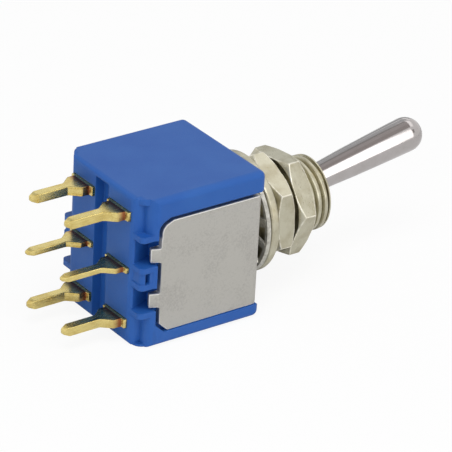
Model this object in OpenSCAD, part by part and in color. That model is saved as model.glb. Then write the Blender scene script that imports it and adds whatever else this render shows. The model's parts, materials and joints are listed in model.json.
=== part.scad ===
// Miniature panel toggle switch, two poles, six board pins.
// Millimetres. The origin is on the bushing axis at the front face of the steel frame.
// +X runs out along the bushing, +Y across the poles, +Z toward the thrown lever.

/* [Case] */
// Width of the case across the poles
case_w = 11.43; // [11.4:0.01:11.8]
// Height of the case
case_h = 12.95; // [12.8:0.05:13.4]
// Depth of the outer walls behind the frame face
case_depth = 10.65; // [10.6:0.05:10.75]
// Depth of the pin face behind the frame face
block_depth = 11.55; // [11.45:0.05:11.8]
// Width of the pin block
block_w = 9.3; // [9.2:0.05:9.4]
// How far the upper and lower walls stand ahead of the frame face
lip = 0.2; // [0.05:0.05:0.4]
// Rounding of the long edges
edge_r = 0.45; // [0.2:0.05:0.6]
// Rounding of the upright corners at the back
corner_r = 0.9; // [0.5:0.05:1]
// Rounding of the front edges and corners of the upper and lower walls
front_r = 0.55; // [0.3:0.05:0.6]
// Room beyond the end terminals inside the case
end_room = 0.25; // [0.2:0.01:0.4]
// Depth of the inner floor behind the frame face
floor_depth = 9.3; // [9.2:0.05:9.4]
// Width of the groove between the pin columns
groove_w = 1.8; // [1.4:0.02:1.8]
// Depth of that groove
groove_depth = 0.85; // [0.4:0.05:1]

/* [Frame] */
// Thickness of the steel sheet
sheet = 0.5; // [0.45:0.01:0.52]
// Length of the legs behind the frame face
leg_len = 9.6; // [9.2:0.05:9.7]
// Height of the legs
leg_h = 9.72; // [9.4:0.02:9.9]
// Shift of the legs and clips toward the lower wall
clip_shift = 0.42; // [0:0.02:0.45]
// Outer radius of the bends
bend_r = 0.55; // [0.55:0.01:0.6]
// Width of a clip tab
tab_w = 1.24; // [1:0.02:1.4]
// Length of a clip tab
tab_len = 0.9; // [0.8:0.05:1.1]
// Distance between the two tabs of a leg
tab_pitch = 3.96; // [3.8:0.02:4.1]
// Angle of the tabs inward
tab_angle = 22; // [15:1:24]

/* [Bushing] */
// Outer diameter of the thread
bush_d = 6.35; // [6.3:0.05:6.5]
// Length ahead of the frame face
bush_len = 8.9; // [8.8:0.05:9.2]
// Diameter of the plain stretch that stands for the thread under the nuts
thread_d = 6; // [5.9:0.02:6.1]
// Diameter of the neck staked through the frame
neck_d = 5.4; // [5.2:0.05:5.5]

/* [Lever] */
// Distance of the pivot ahead of the frame face
pivot_x = 4; // [3.9:0.02:4.1]
// Whole throw in degrees
throw = 21.4; // [20:0.2:22]
// Length from the pivot to the tip
lever_len = 16.44; // [14:0.02:18]
// Diameter of the bat at the tip
tip_d = 2.94; // [2.4:0.02:3.1]
// Diameter at the mouth of the bushing
waist_d = 2.16; // [1.9:0.02:2.2]
// Diameter of the pivot ball
ball_d = 3.5; // [3.3:0.05:3.55]
// Diameter of the inner shank
shank_d = 1.9; // [1.7:0.05:1.95]
// Diameter of the pivot pin
pivot_d = 1; // [0.8:0.05:1.1]

/* [Contacts] */
// Distance between pin rows
row_pitch = 4.7; // [4.65:0.01:4.75]
// Distance between the two poles
pole_pitch = 5; // [4.95:0.01:5.08]
// Width of a terminal at its root
root_w = 3; // [2.6:0.02:3]
// Width of a board pin
pin_w = 0.8; // [0.6:0.02:1]
// Depth of the end pin tips behind the frame face
pin_end = 16.6; // [15:0.05:18]
// Depth of the middle pin tips behind the frame face
common_end = 16.85; // [15:0.05:18]
// Thickness of the end terminals
end_t = 0.8; // [0.6:0.02:0.84]
// Thickness of the middle terminals
common_t = 0.5; // [0.4:0.02:0.52]
// Tilt of a rocker to each side in degrees
rocker_tilt = 5; // [4:0.5:5]
// Rise of the rocker wings in degrees
rocker_rise = 16; // [16:0.5:17]
// Thickness of a rocker
rocker_t = 0.35; // [0.3:0.01:0.4]
// Width of a rocker
rocker_w = 2.2; // [1.8:0.05:2.4]
// Diameter of a plunger
plunger_d = 1.56; // [1.4:0.02:1.6]

/* [Nuts and washers] */
// Width across the flats of the nuts
nut_af = 8; // [7.9:0.05:8.2]
// Thickness of the nuts
nut_h = 1.65; // [1.4:0.05:1.75]
// Inner face of the inner nut ahead of the frame face
inner_x = 2.94; // [2.9:0.02:3]
// Inner face of the outer nut ahead of the frame face
outer_x = 4.93; // [4.9:0.02:5]
// Turn of the inner nut in degrees
inner_turn = 56; // [0:1:60]
// Turn of the outer nut in degrees
outer_turn = 24; // [0:1:60]
// Inner face of the lock washer ahead of the frame face
lock_x = 1.13; // [1:0.01:1.14]
// Thickness of the lock washer
lock_t = 0.28; // [0.24:0.02:0.3]
// Number of lock washer teeth
lock_teeth = 14; // [10:1:14]
// Width of a lock washer tooth
tooth_w = 0.9; // [0.7:0.05:0.95]
// Radial width of the lock washer's ring
lock_ring = 0.45; // [0.4:0.05:0.6]
// Inner face of the plain washer ahead of the frame face
ring_x = 1.56; // [1.55:0.01:1.6]
// Thickness of the plain washer
ring_t = 0.84; // [0.6:0.02:0.86]
// Outer diameter of the washers
washer_d = 10.15; // [9.6:0.05:10.3]

/* [Fits] */
// Clearance of fixed pieces in their seats
seat = 0.02; // [0.01:0.01:0.02]
// Clearance of turning and sliding pieces
slip = 0.05; // [0.03:0.01:0.06]
// Clearance of the plungers from the rockers at rest
tip_gap = 0.06; // [0.06:0.01:0.08]

/* [Hidden] */
$fn = 48;
eps = 0.05;
throw_half = throw / 2;
frame_y = case_w / 2 - 0.07;
leg_in = frame_y - sheet;
clip_z = -clip_shift;
leg_lo = clip_z - leg_h / 2;
recess_lo = leg_lo - seat;
recess_hi = leg_lo + leg_h + 0.32;
recess_end = leg_len + 0.35;
lip_r = 0.45;
plate_r = sheet;
cavity_y = leg_in - 0.8;
cavity_z = row_pitch + end_t / 2 + end_room;
part_y = 0.4;
part_end = 6.3;
pole_y = pole_pitch / 2;
block_r = 0.8;
groove_top = case_h / 2 - 0.36;
cap_depth = block_depth - 0.35;
cap_w = case_w - 1.03;
cap_t = 0.55;
ridge_t = 0.5;
ridge_lo = clip_z - 3.08;
ridge_hi = clip_z + 3.62;
bar_lo = clip_z - 0.55;
bar_hi = clip_z + 0.9;
band_w = case_w - 0.3;
dent_y = case_w / 2 - 0.7;
band_r = 0.45;
pocket_d = 1.45;
thread_end = outer_x + nut_h + 0.12;
nose_cham = 0.12;
pivot_half = thread_d / 2 - 0.4;
waist_taper = 0.08;
leg_cut_x = 0.85;
leg_cut_z = 0.8;
rim_t = 0.3;
bore_r = 2.15;
ball_seat_r = ball_d / 2 + 0.15;
ball_seat_x = pivot_x - ball_seat_r + 0.4;
mouth_x = pivot_x + ball_seat_r - 0.7;
mouth_r = 1.45;
mouth_end_r = 2.25;
ear_t = 0.25;
neck_w = root_w - 0.76;
neck_len = 0.9;
shoulder_len = 1.75;
fulcrum_r = common_t / 2;
fulcrum_x = -(floor_depth - 1.2);
trough_r = fulcrum_r + 0.03;
rocker_l = cavity_z - 0.35;
wing_top = trough_r + rocker_t / cos(rocker_rise);
press = rocker_rise - rocker_tilt;
plunger_r = plunger_d / 2;
reach_a = pivot_x - fulcrum_x - wing_top * cos(rocker_tilt) + wing_top * sin(rocker_tilt) * tan(press);
reach_b = (plunger_r + tip_gap) / cos(press);
plunger_c = (reach_a - reach_b) / (cos(throw_half) + sin(throw_half) * tan(press));
pad_u = row_pitch - end_t / 2;
pad_w = (trough_r + pad_u * tan(rocker_rise)) * cos(rocker_tilt) - pad_u * sin(rocker_tilt);
pad_x = fulcrum_x + pad_w - slip;
carrier_in = 5.5;
carrier_out = 9.3;
carrier_y = 3.6;
carrier_z = 1.35;
well_in = carrier_in + 0.4;
plunger_top = 7;
hollow_r = 0.46;
hollow_end = 9.2;
shank_end = 8.3;
spring_r = 0.34;
wire_r = 0.07;
spring_turns = 8;
nut_r = nut_af / 2 / cos(30);
nut_face_r = nut_af / 2 + 0.06;
washer_bore = bush_d / 2 + 0.12;
tooth_twist = 18;

// Bar along X with its four long edges rounded
module bar_x(x0, x1, w, z0, z1, r) {
  translate([x0, -w / 2 + r, z0])
    cube([x1 - x0, w - 2 * r, z1 - z0]);
  translate([x0, -w / 2, z0 + r])
    cube([x1 - x0, w, z1 - z0 - 2 * r]);
  for (y = [-w / 2 + r, w / 2 - r])
    for (z = [z0 + r, z1 - r])
      translate([x0, y, z])
        rotate([0, 90, 0])
          cylinder(r = r, h = x1 - x0);
}

// Block with its four upright edges rounded
module bar_z(x0, x1, w, z0, z1, r) {
  translate([x0 + r, -w / 2, z0])
    cube([x1 - x0 - 2 * r, w, z1 - z0]);
  translate([x0, -w / 2 + r, z0])
    cube([x1 - x0, w - 2 * r, z1 - z0]);
  for (x = [x0 + r, x1 - r])
    for (y = [-w / 2 + r, w / 2 - r])
      translate([x, y, z0])
        cylinder(r = r, h = z1 - z0);
}

// Block with its four edges across the width rounded
module bar_y(x0, x1, w, z0, z1, r) {
  translate([x0 + r, -w / 2, z0])
    cube([x1 - x0 - 2 * r, w, z1 - z0]);
  translate([x0, -w / 2, z0 + r])
    cube([x1 - x0, w, z1 - z0 - 2 * r]);
  for (x = [x0 + r, x1 - r])
    for (z = [z0 + r, z1 - r])
      translate([x, w / 2, z])
        rotate([90, 0, 0])
          cylinder(r = r, h = w);
}

// Block with its long edges, its front edges and its front corners rounded
module front_round(x0, x1, w, h, r) {
  bar_x(x0, x1 - r, w, -h / 2, h / 2, r);
  bar_y(x0, x1, w - 2 * r, -h / 2, h / 2, r);
  bar_z(x0, x1, w, -h / 2 + r, h / 2 - r, r);
  for (y = [-w / 2 + r, w / 2 - r])
    for (z = [-h / 2 + r, h / 2 - r])
      translate([x1 - r, y, z])
        sphere(r = r);
}

// Round solid along X from x0 to x1
module rod_x(x0, x1, r) {
  translate([x0, 0, 0])
    rotate([0, 90, 0])
      cylinder(r = r, h = x1 - x0);
}

// Tapered round solid along X
module cone_x(x0, x1, r0, r1) {
  translate([x0, 0, 0])
    rotate([0, 90, 0])
      cylinder(r1 = r0, r2 = r1, h = x1 - x0);
}

// Places a piece of the lever group at the thrown rest position
module thrown() {
  translate([pivot_x, 0, 0])
    rotate([0, -throw_half, 0])
      children();
}

// Moulded housing: outer walls, pin block, clip band and bosses, hollow for the contacts
module case() {
  color("#3f66ad")
    difference() {
      union() {
        intersection() {
          bar_z(-case_depth, case_depth, case_w, -case_h / 2, case_h / 2, corner_r);
          front_round(-2 * case_depth, lip, case_w, case_h, front_r);
        }
        intersection() {
          bar_x(-block_depth, -case_depth + 2, block_w, -case_h / 2, case_h / 2, edge_r);
          bar_z(-block_depth, -case_depth + 2, block_w, -case_h / 2, case_h / 2, block_r);
          bar_y(-block_depth, -case_depth + 2, block_w, -case_h / 2, case_h / 2, edge_r);
        }
        intersection() {
          bar_z(-cap_depth, -case_depth + 2, cap_w, case_h / 2 - cap_t, case_h / 2, corner_r);
          bar_y(-cap_depth, -case_depth + 2, cap_w, -case_h / 2, case_h / 2, edge_r);
        }
        bar_z(-cap_depth, -case_depth + 2, cap_w, -case_h / 2, -case_h / 2 + cap_t / 3, corner_r);
        for (z = [ridge_lo, bar_lo, bar_hi, ridge_hi])
          bar_z(-block_depth + 0.1, -case_depth + 2, band_w, z - ridge_t / 2, z + ridge_t / 2, band_r);
        bar_z(-block_depth + 0.2, -case_depth + 2, band_w - 0.1, bar_lo, bar_hi, band_r);
      }
      translate([0, case_w, 0])
        rotate([90, 0, 0])
          linear_extrude(height = 2 * case_w)
            polygon(concat(
              [[-sheet - 2 * seat, recess_lo], [-sheet - 2 * seat, recess_hi]],
              [for (a = [0:22.5:90]) [lip - lip_r * (1 - sin(a)), recess_hi + lip_r * (1 - cos(a))]],
              [[1, recess_hi + lip_r], [1, recess_lo - lip_r]],
              [for (a = [90:-22.5:0]) [lip - lip_r * (1 - sin(a)), recess_lo - lip_r * (1 - cos(a))]]
            ));
      for (side = [-1, 1]) {
        translate([0, side * (leg_in - seat + case_w / 2) + case_w / 2, 0])
          rotate([90, 0, 0])
            linear_extrude(height = case_w)
              polygon(concat(
                [[0, recess_lo], [0, recess_hi]],
                cut_corner(-recess_end, recess_hi),
                [[-recess_end, recess_lo + leg_cut_z], [-recess_end + leg_cut_x, recess_lo]]
              ));
        pocket(side, ridge_lo + ridge_t / 2, bar_lo - ridge_t / 2);
        pocket(side, bar_hi + ridge_t / 2, ridge_hi - ridge_t / 2);
        translate([-case_depth - 0.32, side * (dent_y + case_w / 2) - case_w / 2, bar_lo + ridge_t / 2])
          cube([0.4, case_w, bar_hi - bar_lo - ridge_t]);
      }
      for (side = [-1, 1])
        translate([-floor_depth, side * (cavity_y + part_y) / 2 - (cavity_y - part_y) / 2, -cavity_z])
          cube([floor_depth, cavity_y - part_y, 2 * cavity_z]);
      translate([-part_end, -cavity_y, -cavity_z])
        cube([part_end, 2 * cavity_y, 2 * cavity_z]);
      for (side = [-1, 1])
        for (row = [-1, 0, 1])
          translate([-block_depth - 1, side * pole_y, row * row_pitch])
            translate([0, -root_w / 2 - seat, -root_t(row) / 2 - seat])
              cube([block_depth + 1 - floor_depth + eps, root_w + 2 * seat, root_t(row) + 2 * seat]);
      translate([-block_depth - 1, -groove_w / 2, -case_h])
        cube([1 + groove_depth, groove_w, case_h + groove_top]);
    }
}

// Hollow behind a clip tab, deepest under the tab
module pocket(side, z0, z1) {
  x0 = -case_depth - 0.68;
  x1 = -leg_len + 0.1;
  translate([0, 0, z0])
    linear_extrude(height = z1 - z0)
      polygon([
        [x0, side * case_w],
        [x0, side * (leg_in - pocket_d / 2)],
        [x1, side * (leg_in - pocket_d)],
        [x1, side * case_w]
      ]);
}

// Upper back corner of a leg and of its recess, cut round
function cut_corner(x, z) = [
  [x + 1.2 * leg_cut_x, z],
  [x + 0.45 * leg_cut_x, z - 0.35 * leg_cut_z],
  [x + 0.1 * leg_cut_x, z - 0.75 * leg_cut_z],
  [x, z - 1.2 * leg_cut_z]
];

// Thickness of the terminals in a row, 0 being the middle one
function root_t(row) = row == 0 ? common_t : end_t;

// Steel sheet frame: front plate with the bushing hole, two legs and four bent tabs
module frame() {
  color("#b2b1aa")
    intersection() {
      union() {
        difference() {
          translate([-sheet, -frame_y + bend_r, leg_lo])
            cube([sheet, 2 * (frame_y - bend_r), leg_h]);
          rod_x(-2 * sheet, sheet, neck_d / 2 + seat);
        }
        frame_leg();
        mirror([0, 1, 0])
          frame_leg();
      }
      bar_y(-2 * case_depth, 0, 2 * case_w, leg_lo, leg_lo + leg_h, plate_r);
    }
}

// One leg with its bend and tabs
module frame_leg() {
  translate([-bend_r, -frame_y + bend_r, leg_lo])
    difference() {
      intersection() {
        cylinder(r = bend_r, h = leg_h);
        translate([0, -bend_r, 0])
          cube([bend_r, bend_r, leg_h]);
      }
      translate([0, 0, -1])
        cylinder(r = bend_r - sheet, h = leg_h + 2);
    }
  translate([0, -leg_in, clip_z])
    rotate([90, 0, 0])
      linear_extrude(height = sheet)
        polygon(concat(
          [[-bend_r, -leg_h / 2], [-bend_r, leg_h / 2]],
          cut_corner(-leg_len, leg_h / 2),
          [[-leg_len, -leg_h / 2 + leg_cut_z], [-leg_len + leg_cut_x, -leg_h / 2]]
        ));
  for (z = [clip_z - tab_pitch / 2, clip_z + tab_pitch / 2])
    translate([-leg_len, -frame_y, z - tab_w / 2])
      rotate([0, 0, -tab_angle])
        translate([-tab_len, 0, 0])
          cube([tab_len, sheet, tab_w]);
}

// Metal bushing staked through the frame, with the seat for the lever ball
module bushing() {
  color("#b9b29c")
    difference() {
      union() {
        rod_x(-sheet - rim_t, -sheet, neck_d / 2 + 0.3);
        rod_x(-sheet - rim_t, eps, neck_d / 2);
        rod_x(0, thread_end + eps, thread_d / 2);
        rod_x(thread_end, bush_len - nose_cham, bush_d / 2);
        cone_x(bush_len - nose_cham, bush_len, bush_d / 2, bush_d / 2 - nose_cham);
      }
      rod_x(-2, ball_seat_x, bore_r);
      rod_x(ball_seat_x - eps, mouth_x, ball_seat_r);
      cone_x(mouth_x - eps, bush_len + eps, mouth_r, mouth_end_r);
      translate([pivot_x, pivot_half + seat, 0])
        rotate([90, 0, 0])
          cylinder(d = pivot_d + 2 * seat, h = 2 * (pivot_half + seat));
    }
}

// Bat lever with its pivot ball and inner shank
module lever() {
  color("#d4d4d6")
    thrown()
      difference() {
        union() {
          rod_x(-shank_end, 0, shank_d / 2);
          sphere(d = ball_d);
          cone_x(0, bush_len - pivot_x, waist_d / 2 - waist_taper, waist_d / 2);
          cone_x(bush_len - pivot_x, lever_len - tip_d / 2, waist_d / 2, tip_d / 2);
          translate([lever_len - tip_d / 2, 0, 0])
            sphere(d = tip_d);
        }
        translate([0, ball_d, 0])
          rotate([90, 0, 0])
            cylinder(d = pivot_d + 2 * slip, h = 2 * ball_d);
      }
}

// Cross pin in the bushing wall
module pivot_pin() {
  color("#a8a8a8")
    translate([pivot_x, pivot_half, 0])
      rotate([90, 0, 0])
        cylinder(d = pivot_d, h = 2 * pivot_half);
}

// Nylon bar on the inner shank, with a well for each plunger
module carrier() {
  color("#e6e1d2")
    thrown()
      difference() {
        bar_y(-carrier_out, -carrier_in, 2 * carrier_y, -carrier_z, carrier_z, 0.3);
        rod_x(-shank_end - seat, -carrier_in + 1, shank_d / 2 + seat);
        for (side = [-1, 1])
          translate([0, side * pole_y, 0])
            rod_x(-carrier_out - 1, -well_in, plunger_r + slip);
      }
}

// Hollow plunger with a round tip
module plunger_at(side) {
  thrown()
    translate([0, side * pole_y, 0])
      difference() {
        union() {
          rod_x(-plunger_c, -plunger_top, plunger_r);
          translate([-plunger_c, 0, 0])
            sphere(r = plunger_r);
        }
        rod_x(-hollow_end, -plunger_top + 1, hollow_r);
      }
}

module plunger_a() {
  color("#c9a24a")
    plunger_at(-1);
}

module plunger_b() {
  color("#c9a24a")
    plunger_at(1);
}

// Points of the coil wire, ring after ring
coil_n = 18;
coil_len = hollow_end - well_in - 2 * wire_r - 2 * seat;
function coil_ring(i, n) = [for (k = [0:5])
  let (a = 360 * i / coil_n, b = 60 * k, r = spring_r + wire_r * cos(b))
  [-hollow_end + seat + wire_r + coil_len * i / n + wire_r * sin(b), r * cos(a), r * sin(a)]];

// Coil spring between the well and the plunger
module spring_at(side) {
  n = coil_n * spring_turns;
  thrown()
    translate([0, side * pole_y, 0])
      polyhedron(
        points = [for (i = [0:n]) each coil_ring(i, n)],
        faces = concat(
          [[for (k = [0:5]) k]],
          [for (i = [0:n - 1], k = [0:5])
            [i * 6 + k, (i + 1) * 6 + k, (i + 1) * 6 + (k + 1) % 6, i * 6 + (k + 1) % 6]],
          [[for (k = [5:-1:0]) n * 6 + k]]
        )
      );
}

module spring_a() {
  color("#9a9a98")
    spring_at(-1);
}

module spring_b() {
  color("#9a9a98")
    spring_at(1);
}

// Contact rocker: two rising wings and a saddle over the middle terminal
module rocker_at(side) {
  rise = rocker_l * tan(rocker_rise);
  translate([fulcrum_x, side * pole_y, 0])
    rotate([0, rocker_tilt, 0])
      difference() {
        union() {
          translate([0, rocker_w / 2, 0])
            rotate([90, 0, 0])
              linear_extrude(height = rocker_w)
                polygon([
                  [wing_top, 0],
                  [wing_top + rise, rocker_l],
                  [trough_r + rise, rocker_l],
                  [trough_r, 0],
                  [trough_r + rise, -rocker_l],
                  [wing_top + rise, -rocker_l]
                ]);
          intersection() {
            translate([0, rocker_w / 2, 0])
              rotate([90, 0, 0])
                cylinder(r = wing_top - 0.02, h = rocker_w);
            translate([-0.1, -rocker_w, -1])
              cube([1, 2 * rocker_w, 2]);
          }
        }
        translate([0, rocker_w, 0])
          rotate([90, 0, 0])
            cylinder(r = trough_r, h = 2 * rocker_w);
      }
}

module rocker_a() {
  color("#c8c4b4")
    rocker_at(-1);
}

module rocker_b() {
  color("#c8c4b4")
    rocker_at(1);
}

// Terminal: contact blade inside, ears at the pin face, slanted shoulders, board pin with a coined tip
module terminal(side, row, top) {
  t = root_t(row);
  tip = row == 0 ? common_end : pin_end;
  shoulder = block_depth + shoulder_len;
  translate([0, side * pole_y, row * row_pitch])
    intersection() {
      translate([0, 0, -t / 2])
        linear_extrude(height = t)
          polygon([
            [top, -rocker_w / 2],
            [top, rocker_w / 2],
            [-floor_depth, rocker_w / 2],
            [-floor_depth, root_w / 2],
            [-block_depth - ear_t, root_w / 2],
            [-block_depth - ear_t, neck_w / 2],
            [-block_depth - neck_len, neck_w / 2],
            [-shoulder, pin_w / 2],
            [-tip + 0.6, pin_w / 2],
            [-tip, pin_w / 4],
            [-tip, -pin_w / 4],
            [-tip + 0.6, -pin_w / 2],
            [-shoulder, -pin_w / 2],
            [-block_depth - neck_len, -neck_w / 2],
            [-block_depth - ear_t, -neck_w / 2],
            [-block_depth - ear_t, -root_w / 2],
            [-floor_depth, -root_w / 2],
            [-floor_depth, -rocker_w / 2]
          ]);
      translate([0, root_w, 0])
        rotate([90, 0, 0])
          linear_extrude(height = 2 * root_w)
            polygon([
              [0, -t / 2],
              [0, t / 2],
              [-tip + 0.5, t / 2],
              [-tip, t / 4],
              [-tip, -t / 4],
              [-tip + 0.5, -t / 2]
            ]);
    }
}

// Middle terminal: its upper edge is round, the rocker rides on it
module common_terminal(side) {
  terminal(side, 0, fulcrum_x);
  translate([fulcrum_x, side * pole_y + rocker_w / 2, 0])
    rotate([90, 0, 0])
      cylinder(r = fulcrum_r, h = rocker_w);
}

module end_pin_a_top() {
  color("#d9b54e")
    terminal(-1, 1, pad_x);
}

module end_pin_a_low() {
  color("#d9b54e")
    terminal(-1, -1, pad_x);
}

module end_pin_b_top() {
  color("#d9b54e")
    terminal(1, 1, pad_x);
}

module end_pin_b_low() {
  color("#d9b54e")
    terminal(1, -1, pad_x);
}

module common_pin_a() {
  color("#d9b54e")
    common_terminal(-1);
}

module common_pin_b() {
  color("#d9b54e")
    common_terminal(1);
}

// Internal-tooth lock washer with twisted teeth
module lock_washer() {
  tooth_in = washer_bore;
  ring_in = washer_d / 2 - lock_ring;
  color("#8f8d86")
    union() {
      difference() {
        rod_x(lock_x, lock_x + lock_t, washer_d / 2);
        rod_x(lock_x - 1, lock_x + 1, ring_in);
      }
      difference() {
        for (i = [0:lock_teeth - 1])
          rotate([360 * i / lock_teeth, 0, 0])
            translate([lock_x + lock_t / 2, 0, (tooth_in + ring_in) / 2])
              rotate([0, 0, tooth_twist])
                cube([lock_t - 0.08, tooth_w, ring_in - tooth_in + 0.3], center = true);
        rod_x(lock_x - 1, lock_x + 1, tooth_in);
      }
    }
}

// Plain ring washer with a rounded rim
module plain_washer() {
  r = washer_d / 2 - 0.05;
  e = 0.25;
  color("#bcb6a2")
    difference() {
      union() {
        rod_x(ring_x + e, ring_x + ring_t - e, r);
        rod_x(ring_x, ring_x + ring_t, r - e);
        for (x = [ring_x + e, ring_x + ring_t - e])
          translate([x, 0, 0])
            rotate([0, 90, 0])
              rotate_extrude()
                translate([r - e, 0])
                  circle(r = e);
      }
      rod_x(ring_x - 1, ring_x + 2, washer_bore);
    }
}

// Hexagon nut, corners chamfered on both faces
module nut_at(x, turn) {
  cham = (nut_r - nut_face_r) * tan(30);
  translate([x, 0, 0])
    rotate([turn, 0, 0])
      rotate([0, 90, 0])
        difference() {
          intersection() {
            cylinder(r = nut_r, h = nut_h, $fn = 6);
            rotate_extrude()
              polygon([
                [0, 0],
                [nut_face_r, 0],
                [nut_r, cham],
                [nut_r, nut_h - cham],
                [nut_face_r, nut_h],
                [0, nut_h]
              ]);
          }
          translate([0, 0, -1])
            cylinder(r = thread_d / 2 + slip, h = nut_h + 2);
        }
}

module inner_nut() {
  color("#bdb7a3")
    nut_at(inner_x, inner_turn);
}

module outer_nut() {
  color("#bdb7a3")
    nut_at(outer_x, outer_turn);
}

case();
frame();
bushing();
lever();
pivot_pin();
carrier();
plunger_a();
plunger_b();
spring_a();
spring_b();
rocker_a();
rocker_b();
end_pin_a_top();
end_pin_a_low();
end_pin_b_top();
end_pin_b_low();
common_pin_a();
common_pin_b();
lock_washer();
plain_washer();
inner_nut();
outer_nut();
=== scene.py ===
import json
import math
import bpy
from mathutils import Matrix, Vector

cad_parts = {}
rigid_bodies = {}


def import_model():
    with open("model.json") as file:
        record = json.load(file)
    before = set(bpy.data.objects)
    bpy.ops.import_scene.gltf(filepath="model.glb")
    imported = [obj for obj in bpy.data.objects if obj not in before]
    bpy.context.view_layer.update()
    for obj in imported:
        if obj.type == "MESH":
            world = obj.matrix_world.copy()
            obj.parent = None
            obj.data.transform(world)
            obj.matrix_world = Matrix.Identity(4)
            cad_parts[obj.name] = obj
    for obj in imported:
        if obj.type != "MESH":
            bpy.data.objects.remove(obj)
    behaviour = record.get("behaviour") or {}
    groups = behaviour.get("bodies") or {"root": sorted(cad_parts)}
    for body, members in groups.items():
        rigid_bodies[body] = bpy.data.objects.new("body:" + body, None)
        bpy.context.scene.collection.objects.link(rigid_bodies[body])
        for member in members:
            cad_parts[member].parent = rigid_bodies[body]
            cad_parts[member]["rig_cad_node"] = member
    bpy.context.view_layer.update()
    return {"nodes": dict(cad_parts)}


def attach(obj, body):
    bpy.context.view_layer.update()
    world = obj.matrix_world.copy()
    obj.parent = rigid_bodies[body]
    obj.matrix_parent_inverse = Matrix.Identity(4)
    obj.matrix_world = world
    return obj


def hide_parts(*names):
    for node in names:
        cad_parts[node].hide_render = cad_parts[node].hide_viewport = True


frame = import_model()
nodes = frame["nodes"]

# Case: one moulding of blue glass-filled plastic that holds the contacts. Its
# lips and its clip pockets take the steel frame, and its back face the pins.
MM = 0.001
CASE_BLUE = "#1d54a2"
CASE_BLUE_PALE = "#255ba7"
CASE_EDGE_R = 0.11 * MM
MERGE_GAP = 0.002 * MM
FLAT_ANGLE = math.radians(0.6)


def copied(node, name):
    """Copies a CAD node under a new name and closes the copy's mesh."""
    bpy.ops.object.select_all(action="DESELECT")
    bpy.context.view_layer.objects.active = nodes[node]
    nodes[node].select_set(True)
    bpy.ops.object.duplicate()
    piece = bpy.context.object
    piece.name = name
    del piece["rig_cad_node"]
    bpy.ops.object.mode_set(mode="EDIT")
    bpy.ops.mesh.select_all(action="SELECT")
    bpy.ops.mesh.remove_doubles(threshold=MERGE_GAP)
    bpy.ops.mesh.customdata_custom_splitnormals_clear()
    bpy.ops.mesh.dissolve_limited(angle_limit=FLAT_ANGLE)
    bpy.ops.object.mode_set(mode="OBJECT")
    return piece


def shaded(piece, smooth_angle=38):
    """Shades curved faces smooth and keeps flat faces flat."""
    bpy.ops.object.shade_smooth_by_angle(angle=math.radians(smooth_angle))
    flats = piece.modifiers.new("flats", "WEIGHTED_NORMAL")
    flats.keep_sharp = True
    bpy.ops.object.modifier_apply(modifier="flats")


def linear(code):
    """sRGB hex colour as linear red, green, blue and alpha."""
    parts = [int(code[i:i + 2], 16) / 255 for i in (1, 3, 5)]
    return [p / 12.92 if p <= 0.04045 else ((p + 0.055) / 1.055) ** 2.4
            for p in parts] + [1.0]


def add_node(tree, kind, inputs=None, **settings):
    """Adds one shader node, sets it and links or fills its inputs."""
    node = tree.nodes.new(kind)
    for name, value in settings.items():
        setattr(node, name, value)
    for name, value in (inputs or {}).items():
        if isinstance(value, bpy.types.NodeSocket):
            tree.links.new(value, node.inputs[name])
        else:
            node.inputs[name].default_value = value
    return node


def start_material(name):
    """Empty material with its node tree and Object coordinates."""
    material = bpy.data.materials.new(name)
    material.use_nodes = True
    material.node_tree.nodes.clear()
    place = add_node(material.node_tree, "ShaderNodeTexCoord").outputs["Object"]
    return material, material.node_tree, place


def dress(piece, material):
    """Gives a piece its one material."""
    piece.data.materials.clear()
    piece.data.materials.append(material)


# Moulded plastic: even blue with faint cloudy flow, satin from a fine
# spark-eroded mould skin. The real skin is about 0.03 mm, drawn at 0.09 mm.
# Its small edges catch the light as the softened corners of a moulding do.
blue_plastic, tree, place = start_material("moulded_blue_plastic")
flow = add_node(tree, "ShaderNodeTexNoise", {"Vector": place, "Scale": 1 / (3.5 * MM),
                "Detail": 3.0, "Roughness": 0.55})
skin = add_node(tree, "ShaderNodeTexNoise", {"Vector": place, "Scale": 1 / (0.09 * MM),
                "Detail": 2.0, "Roughness": 0.5})
colour = add_node(tree, "ShaderNodeValToRGB", {"Fac": flow.outputs["Fac"]})
colour.color_ramp.elements[0].position = 0.32
colour.color_ramp.elements[0].color = linear(CASE_BLUE)
colour.color_ramp.elements[1].position = 0.7
colour.color_ramp.elements[1].color = linear(CASE_BLUE_PALE)
gloss = add_node(tree, "ShaderNodeMapRange", {"Value": skin.outputs["Fac"], "From Min": 0.3,
                 "From Max": 0.7, "To Min": 0.46, "To Max": 0.58})
soft = add_node(tree, "ShaderNodeBevel", {"Radius": CASE_EDGE_R}, samples=6)
relief = add_node(tree, "ShaderNodeBump", {"Height": skin.outputs["Fac"], "Strength": 0.25,
                  "Distance": 0.012 * MM, "Normal": soft.outputs["Normal"]})
shader = add_node(tree, "ShaderNodeBsdfPrincipled", {"Base Color": colour.outputs["Color"],
                  "Roughness": gloss.outputs[0], "Normal": relief.outputs[0], "IOR": 1.52,
                  "Specular IOR Level": 0.32})
add_node(tree, "ShaderNodeOutputMaterial", {"Surface": shader.outputs[0]})

case = copied("case", "case_moulding")
shaded(case)
dress(case, blue_plastic)
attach(case, "base")
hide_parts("case")

# Terminals: six blades stamped from copper alloy and gold plated, pressed
# through the back of the case. Each has ears, slanted shoulders and a board pin.
GOLD = "#e0cd86"
GOLD_DEEP = "#c9b066"
ROOT_SHADE_BROWN = "#8a4a2e"
PIN_EDGE_R = 0.1 * MM
ROOT_SHADE_START_X = -12.55 * MM
ROOT_SHADE_FULL_X = -12.0 * MM
ROOT_SHADE_END_X = -11.82 * MM


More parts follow.
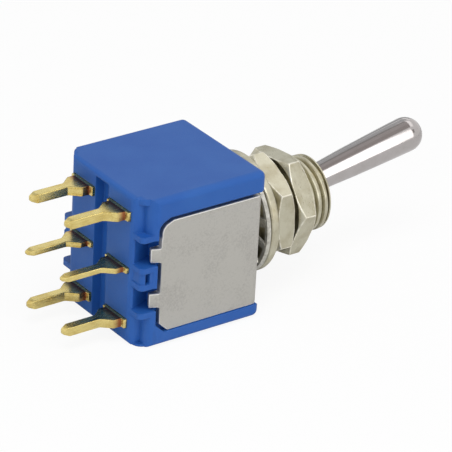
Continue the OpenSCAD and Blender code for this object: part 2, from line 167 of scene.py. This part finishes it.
def rounded(piece, radius, edge_angle=28, beyond_y=0.0, clamp=True):
    """Rounds the sharp edges that lie at least beyond_y off the middle, marks them for a
    painted highlight.
    """
    piece.data.materials.clear()
    piece.data.materials.append(None)
    piece.data.materials.append(None)
    bpy.ops.object.mode_set(mode="EDIT")
    bpy.ops.mesh.select_mode(type="EDGE")
    bpy.ops.mesh.select_all(action="DESELECT")
    bpy.ops.mesh.edges_select_sharp(sharpness=math.radians(edge_angle))
    bpy.ops.object.mode_set(mode="OBJECT")
    points = piece.data.vertices
    for edge in piece.data.edges:
        reach = min(abs(points[i].co.y) for i in edge.vertices)
        edge.select = edge.select and reach >= beyond_y
    bpy.ops.object.mode_set(mode="EDIT")
    bpy.ops.mesh.bevel(offset=radius, segments=2, affect="EDGES", clamp_overlap=clamp,
                       material=1, miter_outer="ARC")
    bpy.ops.mesh.select_mode(type="VERT")
    bpy.ops.object.mode_set(mode="OBJECT")
    # Mask of the bevel faces, which the metals paint paler as a highlight.
    edge_highlight = piece.data.attributes.new("edge_highlight", "FLOAT", "FACE")
    for face in piece.data.polygons:
        edge_highlight.data[face.index].value = face.material_index


# Gold plate over stamped metal: bright yellow, a little deeper in the drag
# lines of the punch, which run along the pin about 0.12 mm apart. Its neck next
# to the case is painted red-brown as the shade and dark reflection there.
gold_plate, tree, place = start_material("gold_plate")
along = add_node(tree, "ShaderNodeMapping", {"Vector": place, "Scale": (0.12, 1.0, 1.0)})
drag = add_node(tree, "ShaderNodeTexNoise", {"Vector": along.outputs[0],
                "Scale": 1 / (0.12 * MM), "Detail": 3.0, "Roughness": 0.6})
blush = add_node(tree, "ShaderNodeTexNoise", {"Vector": place, "Scale": 1 / (1.1 * MM),
                 "Detail": 2.0})
both = add_node(tree, "ShaderNodeMath", {0: drag.outputs["Fac"], 1: blush.outputs["Fac"]},
                operation="MULTIPLY")
colour = add_node(tree, "ShaderNodeValToRGB", {"Fac": both.outputs[0]})
colour.color_ramp.elements[0].position = 0.12
colour.color_ramp.elements[0].color = linear(GOLD_DEEP)
colour.color_ramp.elements[1].position = 0.3
colour.color_ramp.elements[1].color = linear(GOLD)
# Painted shade: the gold turns red-brown on the neck where the pin meets the case.
reach = add_node(tree, "ShaderNodeSeparateXYZ", {"Vector": place})
root_shade_ramp = add_node(tree, "ShaderNodeMapRange", {"Value": reach.outputs["X"],
                "From Min": ROOT_SHADE_START_X, "From Max": ROOT_SHADE_FULL_X, "To Max": 0.95})
root_shade_limit = add_node(tree, "ShaderNodeMath", {0: reach.outputs["X"], 1: ROOT_SHADE_END_X},
                operation="LESS_THAN")
root_shade = add_node(tree, "ShaderNodeMath", {0: root_shade_ramp.outputs[0], 1: root_shade_limit.outputs[0]},
                operation="MULTIPLY")
colour_with_painted_light = add_node(tree, "ShaderNodeMix", {0: root_shade.outputs[0], 6: colour.outputs["Color"],
                7: linear(ROOT_SHADE_BROWN)}, data_type="RGBA")
gloss = add_node(tree, "ShaderNodeMapRange", {"Value": drag.outputs["Fac"], "From Min": 0.3,
                 "From Max": 0.7, "To Min": 0.21, "To Max": 0.29})
relief = add_node(tree, "ShaderNodeBump", {"Height": drag.outputs["Fac"], "Strength": 0.12,
                  "Distance": 0.015 * MM})
shader = add_node(tree, "ShaderNodeBsdfPrincipled", {"Base Color": colour_with_painted_light.outputs[2],
                  "Metallic": 1.0, "Roughness": gloss.outputs[0], "Normal": relief.outputs[0]})
add_node(tree, "ShaderNodeOutputMaterial", {"Surface": shader.outputs[0]})

for node in ("end_pin_a_top", "end_pin_a_low", "end_pin_b_top", "end_pin_b_low",
             "common_pin_a", "common_pin_b"):
    terminal = copied(node, node + "_blade")
    rounded(terminal, PIN_EDGE_R)
    shaded(terminal)
    dress(terminal, gold_plate)
    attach(terminal, "base")
    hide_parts(node)

# Rockers: two silver-faced contact strips that tip on the middle terminals
# inside the case, pressed by the plungers.
SILVER = "#d2cfc6"
SILVER_TARNISH = "#9a9388"

# Silver on copper: pale and soft, greyed by tarnish in patches of about 0.6 mm.
contact_silver, tree, place = start_material("contact_silver")
tarnish = add_node(tree, "ShaderNodeTexNoise", {"Vector": place, "Scale": 1 / (0.6 * MM),
                   "Detail": 4.0, "Roughness": 0.6})
colour = add_node(tree, "ShaderNodeValToRGB", {"Fac": tarnish.outputs["Fac"]})
colour.color_ramp.elements[0].position = 0.3
colour.color_ramp.elements[0].color = linear(SILVER_TARNISH)
colour.color_ramp.elements[1].position = 0.55
colour.color_ramp.elements[1].color = linear(SILVER)
gloss = add_node(tree, "ShaderNodeMapRange", {"Value": tarnish.outputs["Fac"], "To Min": 0.42,
                 "To Max": 0.22})
shader = add_node(tree, "ShaderNodeBsdfPrincipled", {"Base Color": colour.outputs["Color"],
                  "Metallic": 1.0, "Roughness": gloss.outputs[0]})
add_node(tree, "ShaderNodeOutputMaterial", {"Surface": shader.outputs[0]})
for node in ("rocker_a", "rocker_b"):
    dress(nodes[node], contact_silver)

# Frame: one strip of steel sheet, tumbled and bent to a U, its plate under the
# bushing and its legs down the sides, with tabs bent into the case pockets.
STEEL = "#b9b7b1"
STEEL_DULL = "#aeaba6"
STEEL_EDGE_HIGHLIGHT = "#dddbd6"
STEEL_EDGE_R = 0.1 * MM
LEG_FACE_Y = 5.6 * MM

# Tumbled sheet steel: matt grey with a fine pitted grain of about 0.15 mm and
# wide soft clouds, so that it shows the room only as a blur. Its bevelled edges
# are painted paler as a highlight.
frame_steel, tree, place = start_material("tumbled_steel")
cloud = add_node(tree, "ShaderNodeTexNoise", {"Vector": place, "Scale": 1 / (2.4 * MM),
                 "Detail": 4.0, "Roughness": 0.6})
grain = add_node(tree, "ShaderNodeTexNoise", {"Vector": place, "Scale": 1 / (0.15 * MM),
                 "Detail": 3.0, "Roughness": 0.65})
both = add_node(tree, "ShaderNodeMath", {0: cloud.outputs["Fac"], 1: grain.outputs["Fac"]},
                operation="ADD")
colour = add_node(tree, "ShaderNodeValToRGB", {"Fac": both.outputs[0]})
colour.color_ramp.elements[0].position = 0.72
colour.color_ramp.elements[0].color = linear(STEEL_DULL)
colour.color_ramp.elements[1].position = 1.0
colour.color_ramp.elements[1].color = linear(STEEL)
gloss = add_node(tree, "ShaderNodeMapRange", {"Value": grain.outputs["Fac"], "From Min": 0.3,
                 "From Max": 0.7, "To Min": 0.5, "To Max": 0.4})
relief = add_node(tree, "ShaderNodeBump", {"Height": grain.outputs["Fac"], "Strength": 0.3,
                  "Distance": 0.02 * MM})
# Painted highlight: the bevel faces take the paler steel.
edge = add_node(tree, "ShaderNodeAttribute", attribute_name="edge_highlight")
colour_with_painted_light = add_node(tree, "ShaderNodeMix", {0: edge.outputs["Fac"], 6: colour.outputs["Color"],
                7: linear(STEEL_EDGE_HIGHLIGHT)}, data_type="RGBA")
shader = add_node(tree, "ShaderNodeBsdfPrincipled", {"Base Color": colour_with_painted_light.outputs[2],
                  "Metallic": 1.0, "Roughness": gloss.outputs[0], "Normal": relief.outputs[0]})
add_node(tree, "ShaderNodeOutputMaterial", {"Surface": shader.outputs[0]})

sheet = copied("frame", "frame_sheet")
# The bevels carry the painted edge highlight.
rounded(sheet, STEEL_EDGE_R, beyond_y=LEG_FACE_Y, clamp=False)
shaded(sheet)
dress(sheet, frame_steel)
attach(sheet, "base")
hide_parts("frame")

# Bushing: brass turned on a lathe, threaded and nickel plated, staked behind
# the frame plate. A cone opens its mouth for the lever, a seat holds the ball.
NICKEL = "#c1bda9"
NICKEL_WARM = "#a8a087"
NICKEL_EDGE_HIGHLIGHT = "#ece8da"
PITCH = 0.66
ROOT_R, CREST_R = 2.8, 3.17
RIDGE_FOOT = 0.9 * PITCH
CREST_SHARE = 0.5
RIDGE_ROUND = 0.045
BUSHING_OUTLINE = ((-0.8, 2.15), (-0.8, 3.0), (-0.5, 3.0), (-0.5, 2.7), (0.0, 2.7),
                   (0.0, 2.88), (2.9, 2.88), (2.9, 3.0), (6.58, 3.0), (6.62, 2.88),
                   (8.7, 2.88), (8.74, 3.14), (8.86, 3.14), (8.9, 3.08), (8.9, 2.25),
                   (5.2, 1.45), (5.2, 1.9), (2.5, 1.9), (2.5, 2.15), (-0.8, 2.15))
INNER_THREAD = (0.12, 2.86)
OUTER_THREAD = (6.6, 8.72)
TURNED_GAP = 0.001 * MM
RIDGE_GAP = 0.0001 * MM
CUT_GAP = 0.00001 * MM
BUSHING_SMOOTH_ANGLE = math.radians(30)


def turned(name, outline, segments=96):
    """Turns an outline of (x, radius) in millimetres about the X axis."""
    bpy.ops.object.select_all(action="DESELECT")
    x, r = outline[0]
    bpy.ops.mesh.primitive_circle_add(vertices=segments, radius=r * MM, location=(x * MM, 0, 0),
                                      rotation=(0, math.pi / 2, 0))
    piece = bpy.context.object
    piece.name = name
    bpy.ops.object.transform_apply(location=True, rotation=True, scale=True)
    bpy.ops.object.mode_set(mode="EDIT")
    bpy.ops.mesh.select_all(action="SELECT")
    for next_x, next_r in outline[1:]:
        bpy.ops.mesh.extrude_region_move(
            TRANSFORM_OT_translate={"value": ((next_x - x) * MM, 0, 0)})
        if next_r != r:
            bpy.ops.transform.resize(value=(1, next_r / r, next_r / r),
                                     center_override=(next_x * MM, 0, 0))
        x, r = next_x, next_r
    bpy.ops.mesh.select_all(action="SELECT")
    bpy.ops.mesh.remove_doubles(threshold=TURNED_GAP)
    bpy.ops.mesh.normals_make_consistent(inside=False)
    bpy.ops.object.mode_set(mode="OBJECT")
    return piece


def thread_ridge(name, x0, x1, segments=96):
    """Winds one thread ridge round the X axis and cuts it square at both ends."""
    bpy.ops.object.select_all(action="DESELECT")
    start = x0 - PITCH / 2
    middle_r = (CREST_R + ROOT_R) / 2
    bpy.ops.mesh.primitive_plane_add(size=1, rotation=(math.pi / 2, 0, 0))
    ridge = bpy.context.object
    ridge.name = name
    ridge.scale = (RIDGE_FOOT * MM, (CREST_R - ROOT_R) * MM, 1)
    bpy.ops.object.transform_apply(location=True, rotation=True, scale=True)
    ridge.location = (start * MM, 0, middle_r * MM)
    bpy.ops.object.transform_apply(location=True, rotation=True, scale=True)
    bpy.ops.object.mode_set(mode="EDIT")
    bpy.ops.mesh.select_all(action="DESELECT")
    bpy.ops.object.mode_set(mode="OBJECT")
    for corner in ridge.data.vertices:
        corner.select = corner.co.z > middle_r * MM
    bpy.ops.object.mode_set(mode="EDIT")
    bpy.ops.transform.resize(value=(CREST_SHARE, 1, 1),
                             center_override=(start * MM, 0, CREST_R * MM))
    bpy.ops.mesh.select_all(action="SELECT")
    bpy.ops.mesh.bevel(offset=RIDGE_ROUND * MM, segments=2, affect="VERTICES")
    bpy.ops.object.mode_set(mode="OBJECT")
    turns = ridge.modifiers.new("turns", "SCREW")
    turns.axis = "X"
    turns.angle = 2 * math.pi
    turns.screw_offset = PITCH * MM
    turns.iterations = math.ceil((x1 - x0) / PITCH) + 1
    turns.steps = turns.render_steps = segments
    turns.use_merge_vertices = False
    bpy.ops.object.modifier_apply(modifier="turns")
    bpy.ops.object.mode_set(mode="EDIT")
    bpy.ops.mesh.select_all(action="SELECT")
    bpy.ops.mesh.bisect(plane_co=(x0 * MM, 0, 0), plane_no=(1, 0, 0), clear_inner=True,
                        use_fill=True, threshold=CUT_GAP)
    bpy.ops.mesh.select_all(action="SELECT")
    bpy.ops.mesh.bisect(plane_co=(x1 * MM, 0, 0), plane_no=(1, 0, 0), clear_outer=True,
                        use_fill=True, threshold=CUT_GAP)
    bpy.ops.mesh.select_all(action="SELECT")
    bpy.ops.mesh.remove_doubles(threshold=RIDGE_GAP)
    bpy.ops.mesh.normals_make_consistent(inside=False)
    bpy.ops.mesh.select_all(action="DESELECT")
    bpy.ops.mesh.select_face_by_sides(number=4, type="GREATER")
    bpy.ops.mesh.quads_convert_to_tris(ngon_method="BEAUTY")
    bpy.ops.object.mode_set(mode="OBJECT")
    return ridge


# Nickel plate on brass: warm silver with a satin turned finish, yellower
# patches of about 1.5 mm, and fine handling marks 0.08 mm wide. The edges are
# painted paler as a highlight, in stretches of about 0.5 mm.
nickel_plate, tree, place = start_material("nickel_plate")
warmth = add_node(tree, "ShaderNodeTexNoise", {"Vector": place, "Scale": 1 / (1.5 * MM),
                  "Detail": 4.0, "Roughness": 0.6})
across = add_node(tree, "ShaderNodeMapping", {"Vector": place, "Scale": (1.0, 0.18, 0.18)})
marks = add_node(tree, "ShaderNodeTexNoise", {"Vector": across.outputs[0],
                 "Scale": 1 / (0.08 * MM), "Detail": 3.0, "Roughness": 0.6})
colour = add_node(tree, "ShaderNodeValToRGB", {"Fac": warmth.outputs["Fac"]})
colour.color_ramp.elements[0].position = 0.28
colour.color_ramp.elements[0].color = linear(NICKEL_WARM)
colour.color_ramp.elements[1].position = 0.58
colour.color_ramp.elements[1].color = linear(NICKEL)
gloss = add_node(tree, "ShaderNodeMapRange", {"Value": marks.outputs["Fac"], "From Min": 0.3,
                 "From Max": 0.7, "To Min": 0.26, "To Max": 0.4})
relief = add_node(tree, "ShaderNodeBump", {"Height": marks.outputs["Fac"], "Strength": 0.25,
                  "Distance": 0.012 * MM})
# Painted highlight: the bevel faces take the pale nickel, stronger in some stretches than in
# others.
edge = add_node(tree, "ShaderNodeAttribute", attribute_name="edge_highlight")
highlight_stretches = add_node(tree, "ShaderNodeTexNoise", {"Vector": place, "Scale": 1 / (0.5 * MM)})
highlight_share = add_node(tree, "ShaderNodeMapRange", {"Value": highlight_stretches.outputs["Fac"], "From Min": 0.38,
                "From Max": 0.62, "To Min": 0.1, "To Max": 0.9})
highlight_strength = add_node(tree, "ShaderNodeMath", {0: edge.outputs["Fac"], 1: highlight_share.outputs[0]},
                  operation="MULTIPLY")
colour_with_painted_light = add_node(tree, "ShaderNodeMix", {0: highlight_strength.outputs[0], 6: colour.outputs["Color"],
                7: linear(NICKEL_EDGE_HIGHLIGHT)}, data_type="RGBA")
shader = add_node(tree, "ShaderNodeBsdfPrincipled", {"Base Color": colour_with_painted_light.outputs[2],
                  "Metallic": 1.0, "Roughness": gloss.outputs[0], "Normal": relief.outputs[0]})
add_node(tree, "ShaderNodeOutputMaterial", {"Surface": shader.outputs[0]})

bushing = turned("bushing_turned", BUSHING_OUTLINE)
parts = [bushing, thread_ridge("inner_thread", *INNER_THREAD),
         thread_ridge("outer_thread", *OUTER_THREAD)]
bpy.ops.object.select_all(action="DESELECT")
for part in parts:
    part.select_set(True)
bpy.context.view_layer.objects.active = bushing
bpy.ops.object.join()
bpy.ops.object.shade_smooth_by_angle(angle=BUSHING_SMOOTH_ANGLE)
dress(bushing, nickel_plate)
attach(bushing, "base")
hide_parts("bushing")

# Pivot pin: a short pin of drawn steel wire, cut off square and pressed across
# the bushing. The lever turns on it.
WIRE_STEEL = "#a9a8a5"
WIRE_STEEL_DARK = "#7f7d78"

# Drawn steel wire: grey, clouded by a thin film of oil in spots of 0.2 mm.
wire_steel, tree, place = start_material("drawn_steel_wire")
oil = add_node(tree, "ShaderNodeTexNoise", {"Vector": place, "Scale": 1 / (0.2 * MM),
               "Detail": 3.0, "Roughness": 0.6})
colour = add_node(tree, "ShaderNodeValToRGB", {"Fac": oil.outputs["Fac"]})
colour.color_ramp.elements[0].position = 0.3
colour.color_ramp.elements[0].color = linear(WIRE_STEEL_DARK)
colour.color_ramp.elements[1].position = 0.65
colour.color_ramp.elements[1].color = linear(WIRE_STEEL)
gloss = add_node(tree, "ShaderNodeMapRange", {"Value": oil.outputs["Fac"], "To Min": 0.2,
                 "To Max": 0.45})
shader = add_node(tree, "ShaderNodeBsdfPrincipled", {"Base Color": colour.outputs["Color"],
                  "Metallic": 1.0, "Roughness": gloss.outputs[0]})
add_node(tree, "ShaderNodeOutputMaterial", {"Surface": shader.outputs[0]})
dress(nodes["pivot_pin"], wire_steel)

# Lever: a bat turned from brass in one piece with its ball and inner shank,
# polished and chrome plated. It stands thrown to one side in the bushing.
CHROME = "#b7b2b1"
CHROME_MARKED = "#b0aba9"
PIVOT_X = 4.0
THROWN = math.radians(10.7)
BALL_R = 1.75
TIP_X, TIP_R = 14.97, 1.47
TIP_ANGLES = (8, 16, 24, 32, 40, 48, 56, 64, 71, 77, 83, 87)
LEVER_OUTLINE = [(-8.3, 0.86), (-8.2, 0.95), (-1.47, 0.95)]
LEVER_OUTLINE += [(BALL_R * math.sin(math.radians(a)), BALL_R * math.cos(math.radians(a)))
                  for a in range(-52, 49, 10)]
LEVER_OUTLINE += [(4.9, 1.08), (9.0, 1.29), (13.2, 1.43), (14.5, 1.459), (14.85, 1.467),
                  (TIP_X, TIP_R)]
LEVER_OUTLINE += [(TIP_X + TIP_R * math.sin(math.radians(a)), TIP_R * math.cos(math.radians(a)))
                  for a in TIP_ANGLES]
LEVER_SEGMENTS = 64
LEVER_SMOOTH_ANGLE = math.radians(40)

# Chrome plate: a grey-white mirror, a little blurred by polishing lines round
# the bat 0.1 mm wide and by faint handling marks of about 0.9 mm.
chrome_plate, tree, place = start_material("chrome_plate")
rings = add_node(tree, "ShaderNodeMapping", {"Vector": place, "Scale": (1.0, 0.1, 0.1)})
polish = add_node(tree, "ShaderNodeTexNoise", {"Vector": rings.outputs[0],
                  "Scale": 1 / (0.1 * MM), "Detail": 2.0, "Roughness": 0.5})
marks = add_node(tree, "ShaderNodeTexNoise", {"Vector": place, "Scale": 1 / (0.9 * MM),
                 "Detail": 4.0, "Roughness": 0.65})
colour = add_node(tree, "ShaderNodeValToRGB", {"Fac": marks.outputs["Fac"]})
colour.color_ramp.elements[0].position = 0.3
colour.color_ramp.elements[0].color = linear(CHROME_MARKED)
colour.color_ramp.elements[1].position = 0.6
colour.color_ramp.elements[1].color = linear(CHROME)
gloss = add_node(tree, "ShaderNodeMapRange", {"Value": marks.outputs["Fac"], "From Min": 0.3,
                 "From Max": 0.7, "To Min": 0.14, "To Max": 0.07})
relief = add_node(tree, "ShaderNodeBump", {"Height": polish.outputs["Fac"], "Strength": 0.08,
                  "Distance": 0.006 * MM})
shader = add_node(tree, "ShaderNodeBsdfPrincipled", {"Base Color": colour.outputs["Color"],
                  "Metallic": 1.0, "Roughness": gloss.outputs[0], "Normal": relief.outputs[0]})
add_node(tree, "ShaderNodeOutputMaterial", {"Surface": shader.outputs[0]})

lever = turned("lever_bat", LEVER_OUTLINE, LEVER_SEGMENTS)
bpy.ops.object.mode_set(mode="EDIT")
bpy.ops.mesh.select_all(action="SELECT")
bpy.ops.mesh.fill_holes(sides=0)
bpy.ops.mesh.select_all(action="SELECT")
bpy.ops.mesh.normals_make_consistent(inside=False)
bpy.ops.object.mode_set(mode="OBJECT")
lever.rotation_euler = (0, -THROWN, 0)
lever.location = (PIVOT_X * MM, 0, 0)
bpy.ops.object.transform_apply(location=True, rotation=True, scale=True)
bpy.ops.object.shade_smooth_by_angle(angle=LEVER_SMOOTH_ANGLE)
dress(lever, chrome_plate)
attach(lever, "lever")
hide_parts("lever")

# Carrier: a bar moulded from natural nylon, pushed on the inner end of the
# lever. Its two wells guide the plungers.
NYLON = "#e7e2d3"
NYLON_SHADE = "#d8d0bb"

# Natural nylon: waxy off-white, clouded in patches of about 1.2 mm.
nylon, tree, place = start_material("natural_nylon")
cloud = add_node(tree, "ShaderNodeTexNoise", {"Vector": place, "Scale": 1 / (1.2 * MM),
                 "Detail": 3.0})
colour = add_node(tree, "ShaderNodeValToRGB", {"Fac": cloud.outputs["Fac"]})
colour.color_ramp.elements[0].position = 0.3
colour.color_ramp.elements[0].color = linear(NYLON_SHADE)
colour.color_ramp.elements[1].position = 0.65
colour.color_ramp.elements[1].color = linear(NYLON)
gloss = add_node(tree, "ShaderNodeMapRange", {"Value": cloud.outputs["Fac"], "To Min": 0.35,
                 "To Max": 0.5})
shader = add_node(tree, "ShaderNodeBsdfPrincipled", {"Base Color": colour.outputs["Color"],
                  "Roughness": gloss.outputs[0], "IOR": 1.53, "Subsurface Weight": 0.1,
                  "Subsurface Scale": 0.5 * MM})
add_node(tree, "ShaderNodeOutputMaterial", {"Surface": shader.outputs[0]})
dress(nodes["carrier"], nylon)

# Plungers and springs: two small hollow brass pistons with round noses, turned
# on a lathe. A steel wire spring in each presses it from the carrier on its rocker.
BRASS = "#cfae5c"
BRASS_DULL = "#a38342"

# Turned brass: yellow, dulled in patches of about 0.5 mm.
plunger_brass, tree, place = start_material("turned_brass")
dull = add_node(tree, "ShaderNodeTexNoise", {"Vector": place, "Scale": 1 / (0.5 * MM),
                "Detail": 4.0, "Roughness": 0.6})
colour = add_node(tree, "ShaderNodeValToRGB", {"Fac": dull.outputs["Fac"]})
colour.color_ramp.elements[0].position = 0.3
colour.color_ramp.elements[0].color = linear(BRASS_DULL)
colour.color_ramp.elements[1].position = 0.6
colour.color_ramp.elements[1].color = linear(BRASS)
gloss = add_node(tree, "ShaderNodeMapRange", {"Value": dull.outputs["Fac"], "To Min": 0.4,
                 "To Max": 0.2})
shader = add_node(tree, "ShaderNodeBsdfPrincipled", {"Base Color": colour.outputs["Color"],
                  "Metallic": 1.0, "Roughness": gloss.outputs[0]})
add_node(tree, "ShaderNodeOutputMaterial", {"Surface": shader.outputs[0]})
for pole in ("a", "b"):
    plunger = copied("plunger_" + pole, "plunger_" + pole + "_piston")
    shaded(plunger)
    dress(plunger, plunger_brass)
    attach(plunger, "plunger_" + pole)
    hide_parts("plunger_" + pole)
    dress(nodes["spring_" + pole], wire_steel)

# Lock washer: spring steel punched with teeth round its hole, the teeth
# twisted so that they bite. It lies between the frame and the plain washer,
# and the punch has drawn in its rim on the frame's side, clear of the case.
SPRING_STEEL = "#cfcdc4"
SPRING_STEEL_DARK = "#a5a298"
RIM_R = 5.075
RIM_DRAWN_R = 4.955
RIM_MIDDLE_X = 1.27

# Hardened spring steel: pale grey under a thin plate, half dull, with darker
# spots of about 0.4 mm where the plate is thin.
spring_steel, tree, place = start_material("hardened_spring_steel")
spots = add_node(tree, "ShaderNodeTexNoise", {"Vector": place, "Scale": 1 / (0.4 * MM),
                 "Detail": 4.0, "Roughness": 0.65})
colour = add_node(tree, "ShaderNodeValToRGB", {"Fac": spots.outputs["Fac"]})
colour.color_ramp.elements[0].position = 0.35
colour.color_ramp.elements[0].color = linear(SPRING_STEEL_DARK)
colour.color_ramp.elements[1].position = 0.62
colour.color_ramp.elements[1].color = linear(SPRING_STEEL)
gloss = add_node(tree, "ShaderNodeMapRange", {"Value": spots.outputs["Fac"], "To Min": 0.5,
                 "To Max": 0.25})
shader = add_node(tree, "ShaderNodeBsdfPrincipled", {"Base Color": colour.outputs["Color"],
                  "Metallic": 0.6, "Roughness": gloss.outputs[0]})
add_node(tree, "ShaderNodeOutputMaterial", {"Surface": shader.outputs[0]})
lock_washer = copied("lock_washer", "lock_washer_toothed")
bpy.ops.object.mode_set(mode="EDIT")
bpy.ops.mesh.select_all(action="DESELECT")
bpy.ops.object.mode_set(mode="OBJECT")
for point in lock_washer.data.vertices:
    on_rim = point.co.yz.length > RIM_DRAWN_R * MM
    point.select = on_rim and point.co.x < RIM_MIDDLE_X * MM
bpy.ops.object.mode_set(mode="EDIT")
bpy.ops.transform.resize(value=(1, RIM_DRAWN_R / RIM_R, RIM_DRAWN_R / RIM_R),
                         center_override=(0, 0, 0))
bpy.ops.object.mode_set(mode="OBJECT")
shaded(lock_washer)
dress(lock_washer, spring_steel)
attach(lock_washer, "lock_washer")
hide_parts("lock_washer")

# Plain washer: a ring punched from brass sheet, its rim rounded by tumbling,
# nickel plated like the bushing. It turns freely between lock washer and nut.
dress(nodes["plain_washer"], nickel_plate)

# Nuts: two hexagon nuts parted from brass bar, chamfered on both faces and
# nickel plated. They run on the bushing and clamp the panel.
NUT_EDGE_R = 0.08 * MM
NUT_EDGE_ANGLE = 40
NUT_SMOOTH_ANGLE = 25
for node in ("inner_nut", "outer_nut"):
    nut = copied(node, node + "_hexagon")
    # The bevels carry the painted edge highlight.
    rounded(nut, NUT_EDGE_R, NUT_EDGE_ANGLE)
    shaded(nut, NUT_SMOOTH_ANGLE)
    dress(nut, nickel_plate)
    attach(nut, node)
    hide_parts(node)

# Table: the switch lies on the lower wall of its case on a smooth white table
# top, which fades into the white of the room.
TABLE_Z = -6.49 * MM
TABLE_SIZE = 600 * MM
bpy.ops.object.select_all(action="DESELECT")
bpy.ops.mesh.primitive_plane_add(size=TABLE_SIZE, location=(0, 0, TABLE_Z))
table = bpy.context.object
table.name = "table"
table_paint = bpy.data.materials.new("white_table")
table_paint.use_nodes = True
tree = table_paint.node_tree
tree.nodes.clear()
path = add_node(tree, "ShaderNodeLightPath")
matt = add_node(tree, "ShaderNodeBsdfDiffuse", {"Color": linear("#f4f4f4")})
white = add_node(tree, "ShaderNodeEmission", {"Color": linear("#ffffff")})
shown = add_node(tree, "ShaderNodeMath", {0: path.outputs["Is Camera Ray"], 1: 0.9},
                 operation="MULTIPLY")
mix = add_node(tree, "ShaderNodeMixShader", {0: shown.outputs[0], 1: matt.outputs[0],
               2: white.outputs[0]})
add_node(tree, "ShaderNodeOutputMaterial", {"Surface": mix.outputs[0]})
table.data.materials.append(table_paint)

# Room: white to the eye and to metal, softer as light on the object.
world = bpy.data.worlds.new("studio")
world.use_nodes = True
bpy.context.scene.world = world
tree = world.node_tree
tree.nodes.clear()
path = add_node(tree, "ShaderNodeLightPath")
seen = add_node(tree, "ShaderNodeMath", {0: path.outputs["Is Camera Ray"],
                1: path.outputs["Is Glossy Ray"]}, operation="MAXIMUM")
seen = add_node(tree, "ShaderNodeMath", {0: seen.outputs[0],
                1: path.outputs["Is Transmission Ray"]}, operation="MAXIMUM")
strength = add_node(tree, "ShaderNodeMapRange", {"Value": seen.outputs[0],
                    "To Min": 0.5, "To Max": 1.0})
sky = add_node(tree, "ShaderNodeBackground", {"Color": linear("#ffffff"),
               "Strength": strength.outputs[0]})
add_node(tree, "ShaderNodeOutputWorld", {"Surface": sky.outputs[0]})

# Lamps: an upright strip box in front on the right draws the bright band on
# the bat, a square box lights the pin side from the left, another the top.
for name, place, width, height, power in (
        ("strip_box", (0.132, -0.320, 0.20), 0.10, 0.42, 0.24),
        ("left_box", (-0.31, -0.25, 0.15), 0.25, 0.25, 0.38),
        ("top_box", (-0.09, -0.11, 0.36), 0.2, 0.2, 0.6)):
    lamp = bpy.data.lights.new(name, "AREA")
    lamp.shape = "RECTANGLE"
    lamp.size = width
    lamp.size_y = height
    lamp.energy = power
    holder = bpy.data.objects.new(name, lamp)
    holder.location = place
    holder.rotation_euler = (-Vector(place)).to_track_quat("-Z", "Y").to_euler()
    holder.visible_glossy = name in ("strip_box", "top_box")
    bpy.context.collection.objects.link(holder)

# Cards: grey ones hung above the table and one stood behind it draw the grey
# stripes on the bat, white ones its shine and the light on the nuts. Only the
# metal shows them.
for name, centre, size, tilt, tone, power in (
        ("near_card", (0.073, -0.06, 0.30), (0.147, 0.13), 0, "#bab4b2", 1.0),
        ("next_card", (0.073, 0.067, 0.30), (0.147, 0.124), 0, "#c6c1c0", 1.0),
        ("middle_card", (0.08, 0.175, 0.30), (0.12, 0.09), 0, "#a8a6a5", 1.0),
        ("far_card", (0.17, 0.46, 0.30), (0.26, 0.48), 0, "#cfd2d4", 1.0),
        ("back_card", (0.45, 0.70, 0.147), (0.7, 0.306), math.pi / 2, "#bfc2c4", 1.0),
        ("side_card", (0.25, -0.30, 0.24), (0.11, 0.16), 0.9, "#a8a5a1", 1.0),
        ("sky_card", (0.45, 0.57, 0.37), (0.26, 0.40), 0, "#ffffff", 1.5),
        ("nut_card", (0.22, 0.02, 0.30), (0.14, 0.26), 0, "#ffffff", 1.6)):
    bpy.ops.object.select_all(action="DESELECT")
    bpy.ops.mesh.primitive_plane_add(size=1, location=centre, rotation=(tilt, 0, 0))
    card = bpy.context.object
    card.name = name
    card.scale = (*size, 1)
    card.visible_camera = card.visible_diffuse = card.visible_shadow = False
    paper = bpy.data.materials.new(name)
    paper.use_nodes = True
    tree = paper.node_tree
    tree.nodes.clear()
    grey = add_node(tree, "ShaderNodeEmission", {"Color": linear(tone), "Strength": power})
    add_node(tree, "ShaderNodeOutputMaterial", {"Surface": grey.outputs[0]})
    card.data.materials.append(paper)

# Camera: a long lens looking down on the pin side, a little rolled.
LOOK_AT = Vector((-3, 0, 0)) * MM
AZIMUTH, ELEVATION, ROLL = (math.radians(a) for a in (37.035, 27.379, 3.2))
CAMERA_OFFSET = Vector((2.949, -0.094, 262.18)) * MM
LENS_MM, SENSOR_MM = 261.37, 36
back = Vector((-math.sin(AZIMUTH) * math.cos(ELEVATION),
               -math.cos(AZIMUTH) * math.cos(ELEVATION), math.sin(ELEVATION)))
level = Vector((math.cos(AZIMUTH), -math.sin(AZIMUTH), 0))
upright = back.cross(level)
right = level * math.cos(ROLL) + upright * math.sin(ROLL)
up = upright * math.cos(ROLL) - level * math.sin(ROLL)
camera_data = bpy.data.cameras.new("camera")
camera_data.lens = LENS_MM
camera_data.sensor_width = SENSOR_MM
camera_data.clip_start = 10 * MM
camera = bpy.data.objects.new("camera", camera_data)
camera.matrix_world = Matrix.Translation(
    LOOK_AT + right * CAMERA_OFFSET.x + up * CAMERA_OFFSET.y + back * CAMERA_OFFSET.z
) @ Matrix((right, up, back)).transposed().to_4x4()
bpy.context.collection.objects.link(camera)
bpy.context.scene.camera = camera
bpy.context.scene.view_settings.view_transform = "Standard"
